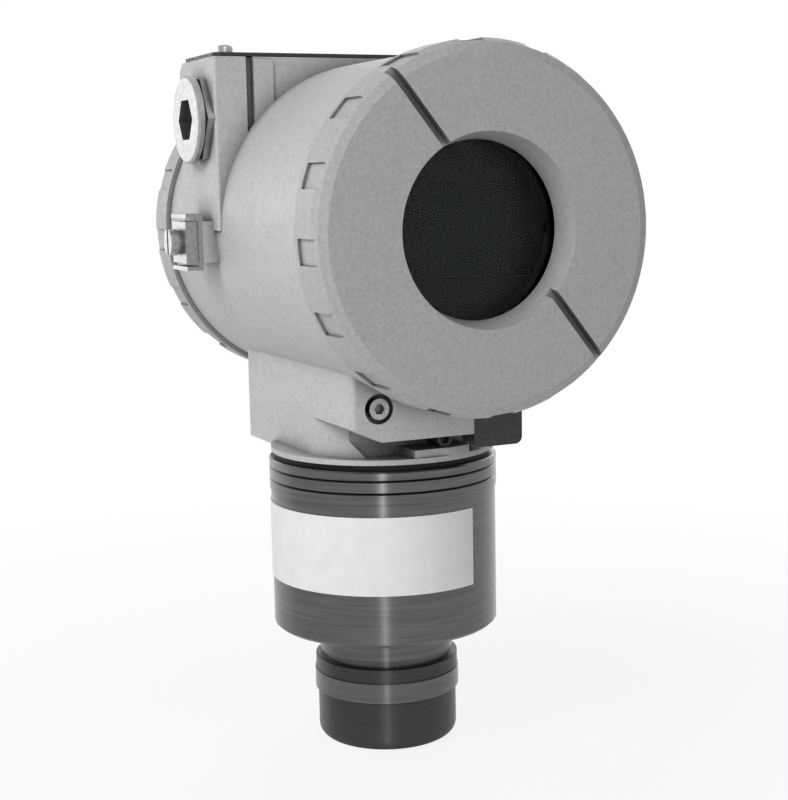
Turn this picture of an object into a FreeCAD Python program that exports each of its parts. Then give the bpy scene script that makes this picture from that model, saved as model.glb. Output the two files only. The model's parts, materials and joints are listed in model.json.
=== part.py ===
# Field pressure transmitter: an in-line sensor module with a round two-compartment
# housing above it. Millimetres. The origin is the centre of the process connection's
# mouth, +Z runs up the sensor module, and the display cover faces -Y.
import FreeCAD, Part
import math
import os

V = FreeCAD.Vector

BEYOND = 1.0                # how far a cutter reaches past the face that it opens
TINY = 1e-3                 # for finding edges by their place

# ---- process connection, turned about the vertical axis, from its mouth up ----
PORT_BORE_R = 9.25          # female thread, minor radius
PORT_BORE_L = 17.0
CHAMBER_R = 7.5             # pressure chamber above the thread
PORT_R = 19.5
PORT_H = 13.8
PORT_EDGE = 3.2             # rounded lower edge
RELIEF_R = 18.8
RELIEF_H = 0.4
RING_R = 20.3
RING_H = 5.4
BAND_R = 20.0
BAND_H = 3.9
GROOVE_R = 18.2
GROOVE_H = 2.1
COLLAR_R = 18.7
COLLAR_H = 7.6
SPIGOT_R = 14.0             # stub that passes through the module's floor
SPIGOT_RISE = 2.0
DIAPHRAGM_RISE = 8.2        # above the inner end of the port's thread
DIAPHRAGM_T = 0.4
CAPSULE_R = 11.8
CAPSULE_FLANGE_H = 3.0
CAPSULE_TOP_R = 9.0
CAPSULE_TOP_H = 9.0

# ---- sensor module ----
MODULE_R = 31.3
MODULE_WALL = 2.6
MODULE_FLOOR = 4.0
MODULE_H = 47.4
COLLAR_BAND_R = 31.6        # slightly larger band at the module's top
COLLAR_BAND_H = 8.8
LINE_DEPTH = 0.5            # turned lines round the band
LINE_W = 0.7
LINE_DROPS = (2.6, 5.9)     # below the module's top
MODULE_CHAMFER = 0.8
CAP_T = 3.5
NECK_R = 18.6               # male thread that carries the housing
NECK_H = 16.6
NECK_BORE_R = 7.5
NECK_CHAMFER = 1.0
HEADER_R = 9.0
HEADER_H = 8.0
HEADER_DROP = 4.0           # header's top below the neck's top
PIN_R = 0.5
PIN_CIRCLE_R = 5.0
PIN_COUNT = 6
PIN_H = 3.5
LABEL_T = 0.25
LABEL_BOTTOM = 14.2         # above the module's lower edge
LABEL_H = 21.0
LABEL_ARC = 180.0
LABEL_END = -65.4           # direction of the label's right edge, degrees from +X
SENSOR_BOARD_R = 24.0
SENSOR_BOARD_T = 1.6
SENSOR_BOARD_RISE = 22.0    # above the module's floor
STANDOFF_R = 2.0
STANDOFF_CIRCLE_R = 20.0
STANDOFF_COUNT = 3
LEAD_COUNT = 4
RIBBON_W = 8.0
RIBBON_T = 0.6
SEAL_R = 29.6
SEAL_W = 3.0
SEAM = 1.6                  # gap between module and housing, filled by the seal
SEAL_PLAY = 0.1

# ---- housing ----
AXIS_RISE = 61.0            # housing's axis above the housing's base
BODY_R = 43.7
BODY_FRONT = -51.4
BODY_REAR = 48.6
THREAD_R = 39.5             # male threads that carry the covers
THREAD_L = 7.8              # threaded length beyond the cover's rear edge
THREAD_WALL = 4.0           # metal between a thread and the compartment inside it
WALL_FRONT = -4.0           # partition between the two compartments
WALL_T = 5.0
BOSS_X = 44.5               # half width of the squared conduit bosses
BOSS_FRONT = 3.3
BOSS_REAR = 33.0
BOSS_CHAMFER = 3.0
BOSS_BLEND = 0.8
PLATFORM_RISE = 45.2        # boss top above the housing's axis
CREASE_X = 34.5
CREASE_W = 2.0
CREASE_DEPTH = 2.0
PAD_W = 5.5
PAD_T = 0.4
CONDUIT_Y = 15.5
CONDUIT_RISE = 29.3         # conduit entries above the housing's axis
CONDUIT_R = 9.6
CONDUIT_L = 14.5            # threaded length of an entry
PASSAGE_R = 8.0             # plain passage from the entry to the terminals
CONDUIT_INNER_X = 14.0
PLUG_MOUTH_R = 10.1         # tapered thread that the plug closes, wide end
PLUG_SEAT_R = 9.3           # and narrow end
NECK_X = 25.5               # half width of the neck block
NECK_FRONT = -38.0
NECK_REAR = 38.5
NECK_CORNER = 1.5
NECK_BLOCK_H = 31.0
BASE_R = 31.0               # thin flange above the seal
ROUND_R = 28.0              # round front below the overhang
FLANGE_H = 1.4
SHELF_H = 7.9               # underside of the block's front overhang, above the base
SHELF_HALF = 17.4
SHELF_SIDE_H = 11.8         # the underside rises to this at the block's sides
POCKET_HALF = 23.4          # pocket cut into the round front, at its top
POCKET_FLOOR_HALF = 15.4
POCKET_REAR = -20.6
NECK_SOCKET_SPARE = 8.0     # socket above the neck's end
THREAD_PLAY = 0.08
PASSAGE_HALF = 6.0
PASSAGE_REACH = (3.2, 4.0)  # forward and back from the cable
SET_BOSS_X = (-4.5, 12.5)
SET_BOSS_Y = (-30.4, -20.0)
SET_BOSS_H = 2.1
SET_SCREW_X = 5.0
SET_SCREW_H = 5.7
SET_SCREW_R = 2.2
SET_SCREW_FRONT = -29.0
SET_SCREW_TIP = 0.1         # tip's play to the module's neck
SET_SOCKET = 2.4
SET_SOCKET_DEPTH = 2.0
STOP_X = (9.0, 23.3)
STOP_Y = (-38.0, -31.0)
STOP_H = (4.2, 17.0)
STOP_PLAY = 0.1
STOP_CORNER = 2.0
LOCK_X = 17.9
LOCK_H = 16.5
LOCK_HEAD_R = 2.7
LOCK_RECESS_R = 3.9
LOCK_RECESS = 2.6
LOCK_SHANK_R = 2.0
LOCK_SHANK_L = 12.0
LOCK_SOCKET = 2.5
LOCK_PROUD = 0.2            # head's face outside the casting's
SOCKET_SHARE = 0.6          # socket's depth as a share of the head's height

# ---- ground lug on the -X side ----
LUG_Y = (8.0, 21.0)
LUG_RISE = (-8.5, 2.5)
LUG_X = -47.4
LUG_ROOT = 3.0              # how far the lug runs into the body
CLAMP_T = 4.6
CLAMP_PLATE_T = 1.2         # bent plate behind the clamp's block
CLAMP_LIP_GAP = 0.9         # between the block and the plate's turned edges
CLAMP_LIP_T = 1.1
CLAMP_SIDE = 0.6            # block's sides in from the plate's
LOCK_WASHER_T = 0.9
LOCK_WASHER_R = 3.2
GROUND_HEAD_R = 3.5
GROUND_HEAD_T = 2.3
GROUND_SHANK_R = 2.0
GROUND_SHANK_L = 12.0
SCREW_PLAY = 0.2
SLOT_W = 1.1
SLOT_DEPTH = 1.0
SLOT_REACH = 4.0

# ---- covers, turned about the housing's axis ----
COVER_R = 45.0
COVER_GAP = 0.8             # cover's rear edge to the housing's shoulder
COVER_SIDE = 10.1           # straight side of the cover
COVER_DEPTH = 13.0
COVER_FACE_R = 41.8
COVER_BULGE = 0.6           # edge's middle outside the straight chamfer
COVER_WEB = 4.7
COVER_PLAY = 0.15           # radial play of the cover's thread
SEAL_BORE_R = 41.3
COVER_SEAL_R = 41.2
COVER_SEAL_L = 1.5
WINDOW_FLARE = 1.7          # window wider at the face than at its lip
WINDOW_LIP = 7.6
GLASS_LAP = 5.3             # width of the glass behind the lip
GLASS_T = 5.0
GASKET_T = 0.6
GASKET_SETBACK = 0.4        # gasket's bore outside the window's
RETAINER_T = 2.6
RETAINER_W = 4.0
RETAINER_KEY = 3.0          # two square keyways for its wrench
RETAINER_KEY_DEPTH = 1.2
HOLDER_WALL = 4.0           # wall round the glass
HOLDER_GAP = 4.5            # from that wall to the casting's compartment
SEAT_PLAY = 0.05
NOTCH_COUNT = 16
NOTCH_DEPTH = 0.8
NOTCH_DEG = 8.0
NOTCH_MARGIN = 2.0
NOTCH_FIRST = 184.7
SLOT_ANGLE = 128.5          # wrench slots across the face, degrees from +X
WRENCH_SLOT_W = 2.3
WRENCH_SLOT_DEPTH = 2.8
WRENCH_SLOT_OFFSET = 3.6

# ---- electronics compartment ----
POST_R = 2.5
POST_L = 6.4
POST_INSET = 7.5            # posts inside the compartment's wall
POST_COUNT = 3
BOARD_GAP = 2.5             # board to the compartment's wall
BOARD_T = 1.6
TRANSFORMER = ((-16, -3), (4, 17), 9)       # each as X range, Z range from the axis, height
CHIP = ((-10, 10), (-14, -2), 2.4)
CAPACITOR_R = 4.0
CAPACITOR_H = 11.0
CAPACITOR_PLACES = ((8, 8), (18, 8))
CONNECTOR_HALF = 5.0
CONNECTOR_DEPTH = 4.0       # from the cable's centre forward
CONNECTOR_H = 6.0
SHELL_GAP = 1.9             # shell to the compartment's wall
SHELL_EDGE = 1.5
CABLE_WAY_HALF = 4.0
CABLE_WAY_DEPTH = 3.0
SHELL_WALL = 1.8
SHELL_L = 20.0
DISPLAY_INSET = 4.5         # display inside the compartment's wall
DISPLAY_L = 12.0
DISPLAY_GAP = 3.0
DISPLAY_EDGE = 3.0
DISPLAY_SOCKET = (24.0, 12.0)   # plug-in socket behind the display, width and height
BEZEL_T = 2.0
PANEL_SCREW_GAP = 4.9       # panel's end to the screw heads beside it
PANEL_H = 24.0
PANEL_T = 1.4
DISPLAY_SCREW_INSET = 4.5
DISPLAY_SCREW_R = 1.6
DISPLAY_SCREW_HEAD_R = 2.6
PLUG_R = 7.0
PLUG_H = 5.0
CABLE_R = 1.6
CABLE_RISE = 0.4            # cable's side below the plug's top
CABLE_Y = -15.0
CABLE_BEND_R = 5.0
CONNECTOR_RISE = -23.0      # board connector below the housing's axis

# ---- terminal compartment ----
TERMINAL_GAP = 0.7          # base to the compartment's wall
TERMINAL_BASE_T = 4.0
TERMINAL_INSET = 1.0
TERMINAL_HALF = 25.0
TERMINAL_TOP_RISE = 9.0
TERMINAL_GROUND_GAP = 3.5   # block's lower side to the inner ground screw
TERMINAL_L = 15.0
BAY_W = 12.0
BAY_PITCH = 15.5
BAY_MARGIN = (5.0, 3.0)     # of the block below and above the bays
BAY_DEPTH = 7.0
PLATE_SIDE = 9.5
PLATE_T = 1.4
TERMINAL_SCREW_R = 3.2
TERMINAL_SCREW_H = 2.6
HOLD_SCREW_R = 3.0          # screws that hold the block and the inner ground
HOLD_SCREW_H = 2.6
HOLD_SCREW_INSET = 6.516    # inside the base's edge, at 45 degrees
FEED_R = 1.5
FEED_PROUD = 2.0            # reach into the electronics compartment
FEED_X = 7.0
INNER_GROUND_INSET = 5.0    # above the compartment's lowest point

# ---- conduit plug, seen from its outer end inwards ----
PLUG_FLANGE_R = 11.6        # outer ring
PLUG_WAIST_R = 10.2
PLUG_FLATS = 21.0           # hexagon behind the ring
PLUG_HEX_H = 1.8
PLUG_GROOVE_H = 0.7
PLUG_RING_H = 1.7
PLUG_RIM = 0.6
PLUG_PLAY = 0.05
PLUG_SOCKET = 10.4
PLUG_SOCKET_DEPTH = 11.0

# ---- nameplate, buttons ----
PLATE_GAP = 0.2
NAMEPLATE_T = 0.9
NAMEPLATE_INSET = 0.6
NAMEPLATE_CORNER = 2.0
NAMEPLATE_SCREW_X = 36.0
NAMEPLATE_SCREW_Y = 18.0
NAMEPLATE_HOLE_R = 1.6
TRACK_DEG = 20.0            # open track that lets the plate leave its far screw
SMALL_SHANK_R = 1.3
SMALL_HEAD_R = 2.1
SMALL_HEAD_T = 2.0
SMALL_HEAD_EDGE = 0.8
SMALL_HEAD_RISE = 1.0
SMALL_SHANK_L = 6.0
BUTTON_X = 10.0
BUTTON_Y = 10.0
BUTTON_R = 3.0
BUTTON_PLAY = 0.15
BUTTON_H = 2.7
BUTTON_SINK = 0.3
BUTTON_HOLE = 7.6
SPRING_R = 1.9
SPRING_WIRE_R = 0.25
SPRING_WIRE_SIDES = 5
SPRING_TURNS = 3

# ---- stations worked out from the sizes above ----
DIAPHRAGM_Z = PORT_BORE_L + DIAPHRAGM_RISE
RELIEF_Z = PORT_H + RELIEF_H
RING_Z = RELIEF_Z + RING_H
BAND_Z = RING_Z + BAND_H
GROOVE_Z = BAND_Z + GROOVE_H
MODULE_Z = GROOVE_Z + COLLAR_H
MODULE_TOP = MODULE_Z + MODULE_H
CAVITY_FLOOR = MODULE_Z + MODULE_FLOOR
CAPSULE_SEAT = CAVITY_FLOOR + SPIGOT_RISE
CAP_Z = MODULE_TOP - CAP_T
NECK_TOP = MODULE_TOP + NECK_H
HEADER_TOP = NECK_TOP - HEADER_DROP
PIN_TOP = HEADER_TOP + PIN_H
BOARD_Z = CAVITY_FLOOR + SENSOR_BOARD_RISE
BASE_Z = MODULE_TOP + SEAM
FLANGE_TOP = BASE_Z + FLANGE_H
AXIS_Z = BASE_Z + AXIS_RISE
PLATFORM_TOP = AXIS_Z + PLATFORM_RISE
CONDUIT_Z = AXIS_Z + CONDUIT_RISE
NECK_BLOCK_TOP = BASE_Z + NECK_BLOCK_H
SHELF_Z = BASE_Z + SHELF_H
SHELF_SIDE_Z = BASE_Z + SHELF_SIDE_H
NECK_SOCKET_TOP = NECK_TOP + NECK_SOCKET_SPARE
SET_SCREW_Z = BASE_Z + SET_SCREW_H
STOP_Z = (BASE_Z + STOP_H[0], BASE_Z + STOP_H[1])
LOCK_Z = BASE_Z + LOCK_H
LUG_Z = (AXIS_Z + LUG_RISE[0], AXIS_Z + LUG_RISE[1])
CONNECTOR_Z = AXIS_Z + CONNECTOR_RISE
WALL_REAR = WALL_FRONT + WALL_T
CAVITY_R = THREAD_R - THREAD_WALL
PASSAGE_Y = (CABLE_Y - PASSAGE_REACH[0], CABLE_Y + PASSAGE_REACH[1])
PASSAGE_TOP = AXIS_Z - CAVITY_R + PASSAGE_HALF
POST_CIRCLE_R = CAVITY_R - POST_INSET
BOARD_R = CAVITY_R - BOARD_GAP
SHELL_R = CAVITY_R - SHELL_GAP
DISPLAY_R = CAVITY_R - DISPLAY_INSET
DISPLAY_SCREW_X = DISPLAY_R - DISPLAY_SCREW_INSET
PANEL_W = 2 * (DISPLAY_SCREW_X - DISPLAY_SCREW_HEAD_R - PANEL_SCREW_GAP)
TERMINAL_BASE_R = CAVITY_R - TERMINAL_GAP
HOLD_SCREW_OUT = (TERMINAL_BASE_R - HOLD_SCREW_INSET) * math.cos(math.radians(45))
INNER_GROUND_Z = AXIS_Z - CAVITY_R + INNER_GROUND_INSET
TERMINAL_Z = (INNER_GROUND_Z + HOLD_SCREW_R + TERMINAL_GROUND_GAP, AXIS_Z + TERMINAL_TOP_RISE)
BAY_Z = (TERMINAL_Z[0] + BAY_MARGIN[0], TERMINAL_Z[1] - BAY_MARGIN[1])
HOLDER_R = CAVITY_R - HOLDER_GAP
GLASS_R = HOLDER_R - HOLDER_WALL
WINDOW_R = GLASS_R - GLASS_LAP
WINDOW_FACE_R = WINDOW_R + WINDOW_FLARE
RETAINER_BORE_R = GLASS_R - RETAINER_W
THREAD_FRONT = BODY_FRONT - COVER_GAP - THREAD_L
THREAD_REAR = BODY_REAR + COVER_GAP + THREAD_L
COVER_BORE_R = THREAD_R + COVER_PLAY
FRONT_RIM = BODY_FRONT - COVER_GAP
FRONT_FACE = FRONT_RIM - COVER_DEPTH
REAR_RIM = BODY_REAR + COVER_GAP
GLASS_FRONT = FRONT_FACE + WINDOW_LIP + GASKET_T
GLASS_REAR = GLASS_FRONT + GLASS_T
RETAINER_REAR = GLASS_REAR + RETAINER_T
BOARD_REAR = WALL_FRONT - POST_L
BOARD_FRONT = BOARD_REAR - BOARD_T
SHELL_FRONT = BOARD_FRONT - SHELL_L
DISPLAY_REAR = SHELL_FRONT - DISPLAY_GAP
DISPLAY_FRONT = DISPLAY_REAR - DISPLAY_L
BEZEL_FRONT = DISPLAY_FRONT - BEZEL_T
PLATE_Z = PLATFORM_TOP + PLATE_GAP
PLATE_TOP = PLATE_Z + NAMEPLATE_T
BUTTON_TOP = PLATFORM_TOP - BUTTON_SINK
BUTTON_FLOOR = PLATFORM_TOP - BUTTON_HOLE
LUG_AXIS = (sum(LUG_Y) / 2, sum(LUG_Z) / 2)


# ---------------------------------------------------------------- small helpers
def cylinder_z(radius, low, high, x=0.0, y=0.0):
    return Part.makeCylinder(radius, high - low, V(x, y, low))


def cylinder_y(radius, front, rear, x=0.0, z=AXIS_Z):
    return Part.makeCylinder(radius, rear - front, V(x, front, z), V(0, 1, 0))


def cylinder_x(radius, left, right, y, z):
    return Part.makeCylinder(radius, right - left, V(left, y, z), V(1, 0, 0))


def block(x, y, z):
    """Box between (low, high) pairs."""
    return Part.makeBox(x[1] - x[0], y[1] - y[0], z[1] - z[0], V(x[0], y[0], z[0]))


def turned_z(profile):
    """Solid turned about the module's axis from (radius, z) corners."""
    corners = [V(r, 0, z) for r, z in profile]
    face = Part.Face(Part.makePolygon(corners + corners[:1]))
    return face.revolve(V(0, 0, 0), V(0, 0, 1), 360)


def turned_y(profile):
    """Solid turned about the housing's axis from (radius, y) corners."""
    corners = [V(r, y, AXIS_Z) for r, y in profile]
    face = Part.Face(Part.makePolygon(corners + corners[:1]))
    return face.revolve(V(0, 0, AXIS_Z), V(0, 1, 0), 360)


def prism_y(outline, front, rear):
    """Prism along Y from (x, z) corners."""
    corners = [V(x, front, z) for x, z in outline]
    face = Part.Face(Part.makePolygon(corners + corners[:1]))
    return face.extrude(V(0, rear - front, 0))


def hexagon(flats, centre, direction, length):
    """Hexagonal prism along X or Y, with corners across the horizontal."""
    reach = flats / math.sqrt(3)
    corners = []
    for i in range(6):
        across = reach * math.cos(math.radians(60 * i))
        up = reach * math.sin(math.radians(60 * i))
        side = V(0, across, up) if direction.x else V(across, 0, up)
        corners.append(centre + side)
    face = Part.Face(Part.makePolygon(corners + corners[:1]))
    return face.extrude(direction * length)


def screw_slot(face, way, x, z):
    """Driver slot across a screw head whose face looks along Y, the way given."""
    low, high = sorted((face + way * BEYOND, face - way * SLOT_DEPTH))
    half = SLOT_W / 2
    return block((x - SLOT_REACH, x + SLOT_REACH), (low, high), (z - half, z + half))


def round_places(radius, count, first=0.0):
    """Points spaced evenly round a circle."""
    step = 360.0 / count
    angles = [math.radians(first + i * step) for i in range(count)]
    return [(radius * math.cos(a), radius * math.sin(a)) for a in angles]


def vertical_edges(shape):
    """Straight edges that run along Z."""
    found = []
    for edge in shape.Edges:
        low, high = edge.BoundBox.ZMin, edge.BoundBox.ZMax
        flat = edge.BoundBox.XLength + edge.BoundBox.YLength
        if flat < TINY and high - low > TINY:
            found.append(edge)
    return found


# ---------------------------------------------------------------- sensor module
def process_connection():
    body = turned_z([
        (PORT_BORE_R, 0), (PORT_R, 0), (PORT_R, PORT_H), (RELIEF_R, PORT_H),
        (RELIEF_R, RELIEF_Z), (RING_R, RELIEF_Z), (RING_R, RING_Z), (BAND_R, RING_Z),
        (BAND_R, BAND_Z), (GROOVE_R, BAND_Z), (GROOVE_R, GROOVE_Z), (COLLAR_R, GROOVE_Z),
        (COLLAR_R, MODULE_Z), (SPIGOT_R, MODULE_Z), (SPIGOT_R, CAPSULE_SEAT),
        (CAPSULE_R + SEAT_PLAY, CAPSULE_SEAT), (CAPSULE_R + SEAT_PLAY, DIAPHRAGM_Z),
        (CHAMBER_R, DIAPHRAGM_Z), (CHAMBER_R, PORT_BORE_L), (PORT_BORE_R, PORT_BORE_L),
    ])
    lower_rim = [e for e in body.Edges if e.BoundBox.ZMax < TINY and e.BoundBox.XLength > 2 * PORT_R - TINY]
    return body.makeFillet(PORT_EDGE, lower_rim)


def isolating_diaphragm():
    return cylinder_z(CAPSULE_R, DIAPHRAGM_Z, DIAPHRAGM_Z + DIAPHRAGM_T)


def sensor_capsule():
    flange_top = CAPSULE_SEAT + CAPSULE_FLANGE_H
    return turned_z([
        (0, DIAPHRAGM_Z + DIAPHRAGM_T), (CAPSULE_R, DIAPHRAGM_Z + DIAPHRAGM_T), (CAPSULE_R, CAPSULE_SEAT),
        (SPIGOT_R, CAPSULE_SEAT), (SPIGOT_R, flange_top), (CAPSULE_TOP_R, flange_top),
        (CAPSULE_TOP_R, flange_top + CAPSULE_TOP_H), (0, flange_top + CAPSULE_TOP_H),
    ])


def module_shell():
    inner = MODULE_R - MODULE_WALL
    band = MODULE_TOP - COLLAR_BAND_H
    outline = [
        (SPIGOT_R + SEAT_PLAY, MODULE_Z), (MODULE_R - MODULE_CHAMFER, MODULE_Z),
        (MODULE_R, MODULE_Z + MODULE_CHAMFER), (MODULE_R, band), (COLLAR_BAND_R, band),
    ]
    for drop in reversed(LINE_DROPS):
        line = MODULE_TOP - drop
        outline.append((COLLAR_BAND_R, line - LINE_W / 2))
        outline.append((COLLAR_BAND_R - LINE_DEPTH, line))
        outline.append((COLLAR_BAND_R, line + LINE_W / 2))
    outline += [
        (COLLAR_BAND_R, MODULE_TOP - MODULE_CHAMFER / 2), (COLLAR_BAND_R - MODULE_CHAMFER / 2, MODULE_TOP),
        (inner, MODULE_TOP), (inner, CAVITY_FLOOR), (SPIGOT_R + SEAT_PLAY, CAVITY_FLOOR),
    ]
    return turned_z(outline)


def module_label():
    low = MODULE_Z + LABEL_BOTTOM
    wrap = Part.makeCylinder(MODULE_R + LABEL_T, LABEL_H, V(0, 0, low), V(0, 0, 1), LABEL_ARC)
    core = cylinder_z(MODULE_R, low - BEYOND, low + LABEL_H + BEYOND)
    label = wrap.cut(core)
    label.rotate(V(0, 0, 0), V(0, 0, 1), LABEL_END - LABEL_ARC)
    return label


def module_cap():
    outer = MODULE_R - MODULE_WALL - SEAT_PLAY
    header_seat = HEADER_TOP - HEADER_H
    return turned_z([
        (NECK_BORE_R, CAP_Z), (outer, CAP_Z), (outer, MODULE_TOP), (NECK_R, MODULE_TOP),
        (NECK_R, NECK_TOP - NECK_CHAMFER), (NECK_R - NECK_CHAMFER, NECK_TOP), (HEADER_R, NECK_TOP),
        (HEADER_R, header_seat), (NECK_BORE_R, header_seat),
    ])


def module_header():
    return cylinder_z(HEADER_R - SEAT_PLAY, HEADER_TOP - HEADER_H, HEADER_TOP)


def header_pins():
    places = round_places(PIN_CIRCLE_R, PIN_COUNT)
    return [cylinder_z(PIN_R, HEADER_TOP, PIN_TOP, x, y) for x, y in places]


def sensor_board():
    return cylinder_z(SENSOR_BOARD_R, BOARD_Z, BOARD_Z + SENSOR_BOARD_T)


def board_standoffs():
    places = round_places(STANDOFF_CIRCLE_R, STANDOFF_COUNT, 30)
    return [cylinder_z(STANDOFF_R, CAVITY_FLOOR, BOARD_Z, x, y) for x, y in places]


def sensor_leads():
    top = CAPSULE_SEAT + CAPSULE_FLANGE_H + CAPSULE_TOP_H
    places = round_places(PIN_CIRCLE_R, LEAD_COUNT, 45)
    return [cylinder_z(PIN_R, top, BOARD_Z, x, y) for x, y in places]


def module_ribbon():
    half = RIBBON_W / 2
    low = BOARD_Z + SENSOR_BOARD_T
    return block((-half, half), (-RIBBON_T / 2, RIBBON_T / 2), (low, HEADER_TOP - HEADER_H))


def neck_seal():
    return turned_z([
        (SEAL_R - SEAL_W, MODULE_TOP), (SEAL_R, MODULE_TOP), (SEAL_R, BASE_Z - SEAL_PLAY),
        (SEAL_R - SEAL_W, BASE_Z - SEAL_PLAY),
    ])


# ---------------------------------------------------------------- housing casting
def boss_platform():
    """Squared upper rear of the housing, with a conduit boss on each side."""
    body = block((-BOSS_X, BOSS_X), (BOSS_FRONT, BOSS_REAR), (AXIS_Z, PLATFORM_TOP))
    rear_top = [
        e for e in body.Edges
        if e.BoundBox.YMin > BOSS_REAR - TINY and e.BoundBox.ZMin > PLATFORM_TOP - TINY
    ]
    body = body.makeChamfer(BOSS_CHAMFER, rear_top)
    body = body.makeFillet(BOSS_BLEND, vertical_edges(body))
    for side in (-1, 1):
        crease = side * CREASE_X
        groove = block(
            (crease - CREASE_W / 2, crease + CREASE_W / 2),
            (BOSS_FRONT - BEYOND, BOSS_FRONT + CREASE_DEPTH), (AXIS_Z - BEYOND, PLATFORM_TOP + BEYOND))
        body = body.cut(groove)
        inner = side * (CREASE_X - CREASE_W / 2)
        pad_x = sorted((inner, inner - side * PAD_W))
        pad = block(pad_x, (BOSS_FRONT - PAD_T, BOSS_FRONT), (AXIS_Z, PLATFORM_TOP - NAMEPLATE_INSET))
        body = body.fuse(pad)
    return body


def neck_solid():
    """Neck block under the body, with the round base that faces the module."""
    upper = prism_y([
        (-NECK_X, NECK_BLOCK_TOP), (-NECK_X, SHELF_SIDE_Z), (-SHELF_HALF, SHELF_Z),
        (SHELF_HALF, SHELF_Z), (NECK_X, SHELF_SIDE_Z), (NECK_X, NECK_BLOCK_TOP),
    ], NECK_FRONT, NECK_REAR)
    upper = upper.makeFillet(NECK_CORNER, vertical_edges(upper))
    rear = block((-NECK_X, NECK_X), (0, NECK_REAR), (BASE_Z, SHELF_SIDE_Z))
    corners = [e for e in vertical_edges(rear) if e.BoundBox.YMin > NECK_REAR - TINY]
    rear = rear.makeFillet(NECK_CORNER, corners)
    slab = block((-NECK_X, NECK_X), (-ROUND_R, ROUND_R), (BASE_Z, SHELF_SIDE_Z))
    round_front = cylinder_z(ROUND_R, BASE_Z, SHELF_SIDE_Z).common(slab)
    pocket = prism_y([
        (-POCKET_HALF, SHELF_SIDE_Z), (POCKET_HALF, SHELF_SIDE_Z),
        (POCKET_FLOOR_HALF, FLANGE_TOP), (-POCKET_FLOOR_HALF, FLANGE_TOP),
    ], NECK_FRONT, POCKET_REAR)
    flange = cylinder_z(BASE_R, BASE_Z, FLANGE_TOP)
    set_boss = block(SET_BOSS_X, SET_BOSS_Y, (BASE_Z, FLANGE_TOP + SET_BOSS_H))
    set_boss = set_boss.common(cylinder_z(BASE_R, BASE_Z, SHELF_Z))
    return upper.fuse([rear, round_front.cut(pocket), flange, set_boss])


def lock_recess(side):
    """Counterbore and tapped hole of a cover lock screw, on the front (-1) or rear (1)."""
    face = NECK_FRONT if side < 0 else NECK_REAR
    x = side * LOCK_X
    recess = sorted((face + side, face - side * LOCK_RECESS))
    hole = sorted((face, face - side * LOCK_SHANK_L))
    bore = cylinder_y(LOCK_RECESS_R, recess[0], recess[1], x, LOCK_Z)
    return bore.fuse(cylinder_y(LOCK_SHANK_R, hole[0], hole[1], x, LOCK_Z))


def plug_taper(play):
    """Tapered thread of the plugged entry, smaller all round by the play."""
    return Part.makeCone(
        PLUG_MOUTH_R - play, PLUG_SEAT_R - play, CONDUIT_L, V(-BOSS_X, CONDUIT_Y, CONDUIT_Z), V(1, 0, 0))


def housing_casting():
    body = cylinder_y(BODY_R, BODY_FRONT, BODY_REAR)
    threads = cylinder_y(THREAD_R, THREAD_FRONT, THREAD_REAR)
    lug = block((LUG_X, -BODY_R + LUG_ROOT), LUG_Y, LUG_Z)
    casting = body.fuse([threads, boss_platform(), neck_solid(), lug])
    cuts = [
        cylinder_y(CAVITY_R, THREAD_FRONT - BEYOND, WALL_FRONT),
        cylinder_y(CAVITY_R, WALL_REAR, THREAD_REAR + BEYOND),
        cylinder_z(NECK_R + THREAD_PLAY, BASE_Z - BEYOND, NECK_SOCKET_TOP),
        block((-PASSAGE_HALF, PASSAGE_HALF), PASSAGE_Y, (NECK_SOCKET_TOP - BEYOND, PASSAGE_TOP)),
        plug_taper(0),
        cylinder_x(CONDUIT_R, BOSS_X - CONDUIT_L, BOSS_X + BEYOND, CONDUIT_Y, CONDUIT_Z),
        cylinder_x(PASSAGE_R, -BOSS_X + BEYOND, -CONDUIT_INNER_X, CONDUIT_Y, CONDUIT_Z),
        cylinder_x(PASSAGE_R, CONDUIT_INNER_X, BOSS_X - BEYOND, CONDUIT_Y, CONDUIT_Z),
        cylinder_y(SET_SCREW_R, SET_SCREW_FRONT, -NECK_R + BEYOND, SET_SCREW_X, SET_SCREW_Z),
        block((STOP_X[0], NECK_X + BEYOND), (STOP_Y[0] - BEYOND, STOP_Y[1]), (BASE_Z - BEYOND, STOP_Z[1])),
        lock_recess(-1),
        lock_recess(1),
        cylinder_x(GROUND_SHANK_R, LUG_X - BEYOND, LUG_X + GROUND_SHANK_L, *LUG_AXIS),
    ]
    for x in (-BUTTON_X, BUTTON_X):
        cuts.append(cylinder_z(BUTTON_R + BUTTON_PLAY, BUTTON_FLOOR, PLATFORM_TOP + BEYOND, x, BUTTON_Y))
    for x in (-NAMEPLATE_SCREW_X, NAMEPLATE_SCREW_X):
        hole_low = PLATFORM_TOP - SMALL_SHANK_L
        cuts.append(cylinder_z(SMALL_SHANK_R, hole_low, PLATFORM_TOP + BEYOND, x, NAMEPLATE_SCREW_Y))
    for x in (-FEED_X, FEED_X):
        cuts.append(cylinder_y(FEED_R, WALL_FRONT - BEYOND, WALL_REAR + BEYOND, x))
    return casting.cut(cuts).removeSplitter()


# ---------------------------------------------------------------- neck fittings
def socket_screw(head_r, head_t, shank_r, length, centre, direction, socket):
    """Socket head screw; centre is the head's outer face, direction points into the work."""
    head = Part.makeCylinder(head_r, head_t, centre, direction)
    shank = Part.makeCylinder(shank_r, length, centre, direction)
    well = hexagon(socket, centre, direction, head_t * SOCKET_SHARE)
    return head.fuse(shank).cut(well)


def front_lock_screw():
    centre = V(-LOCK_X, NECK_FRONT - LOCK_PROUD, LOCK_Z)
    return socket_screw(LOCK_HEAD_R, LOCK_RECESS + LOCK_PROUD, LOCK_SHANK_R, LOCK_SHANK_L, centre,
                        V(0, 1, 0), LOCK_SOCKET)


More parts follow.
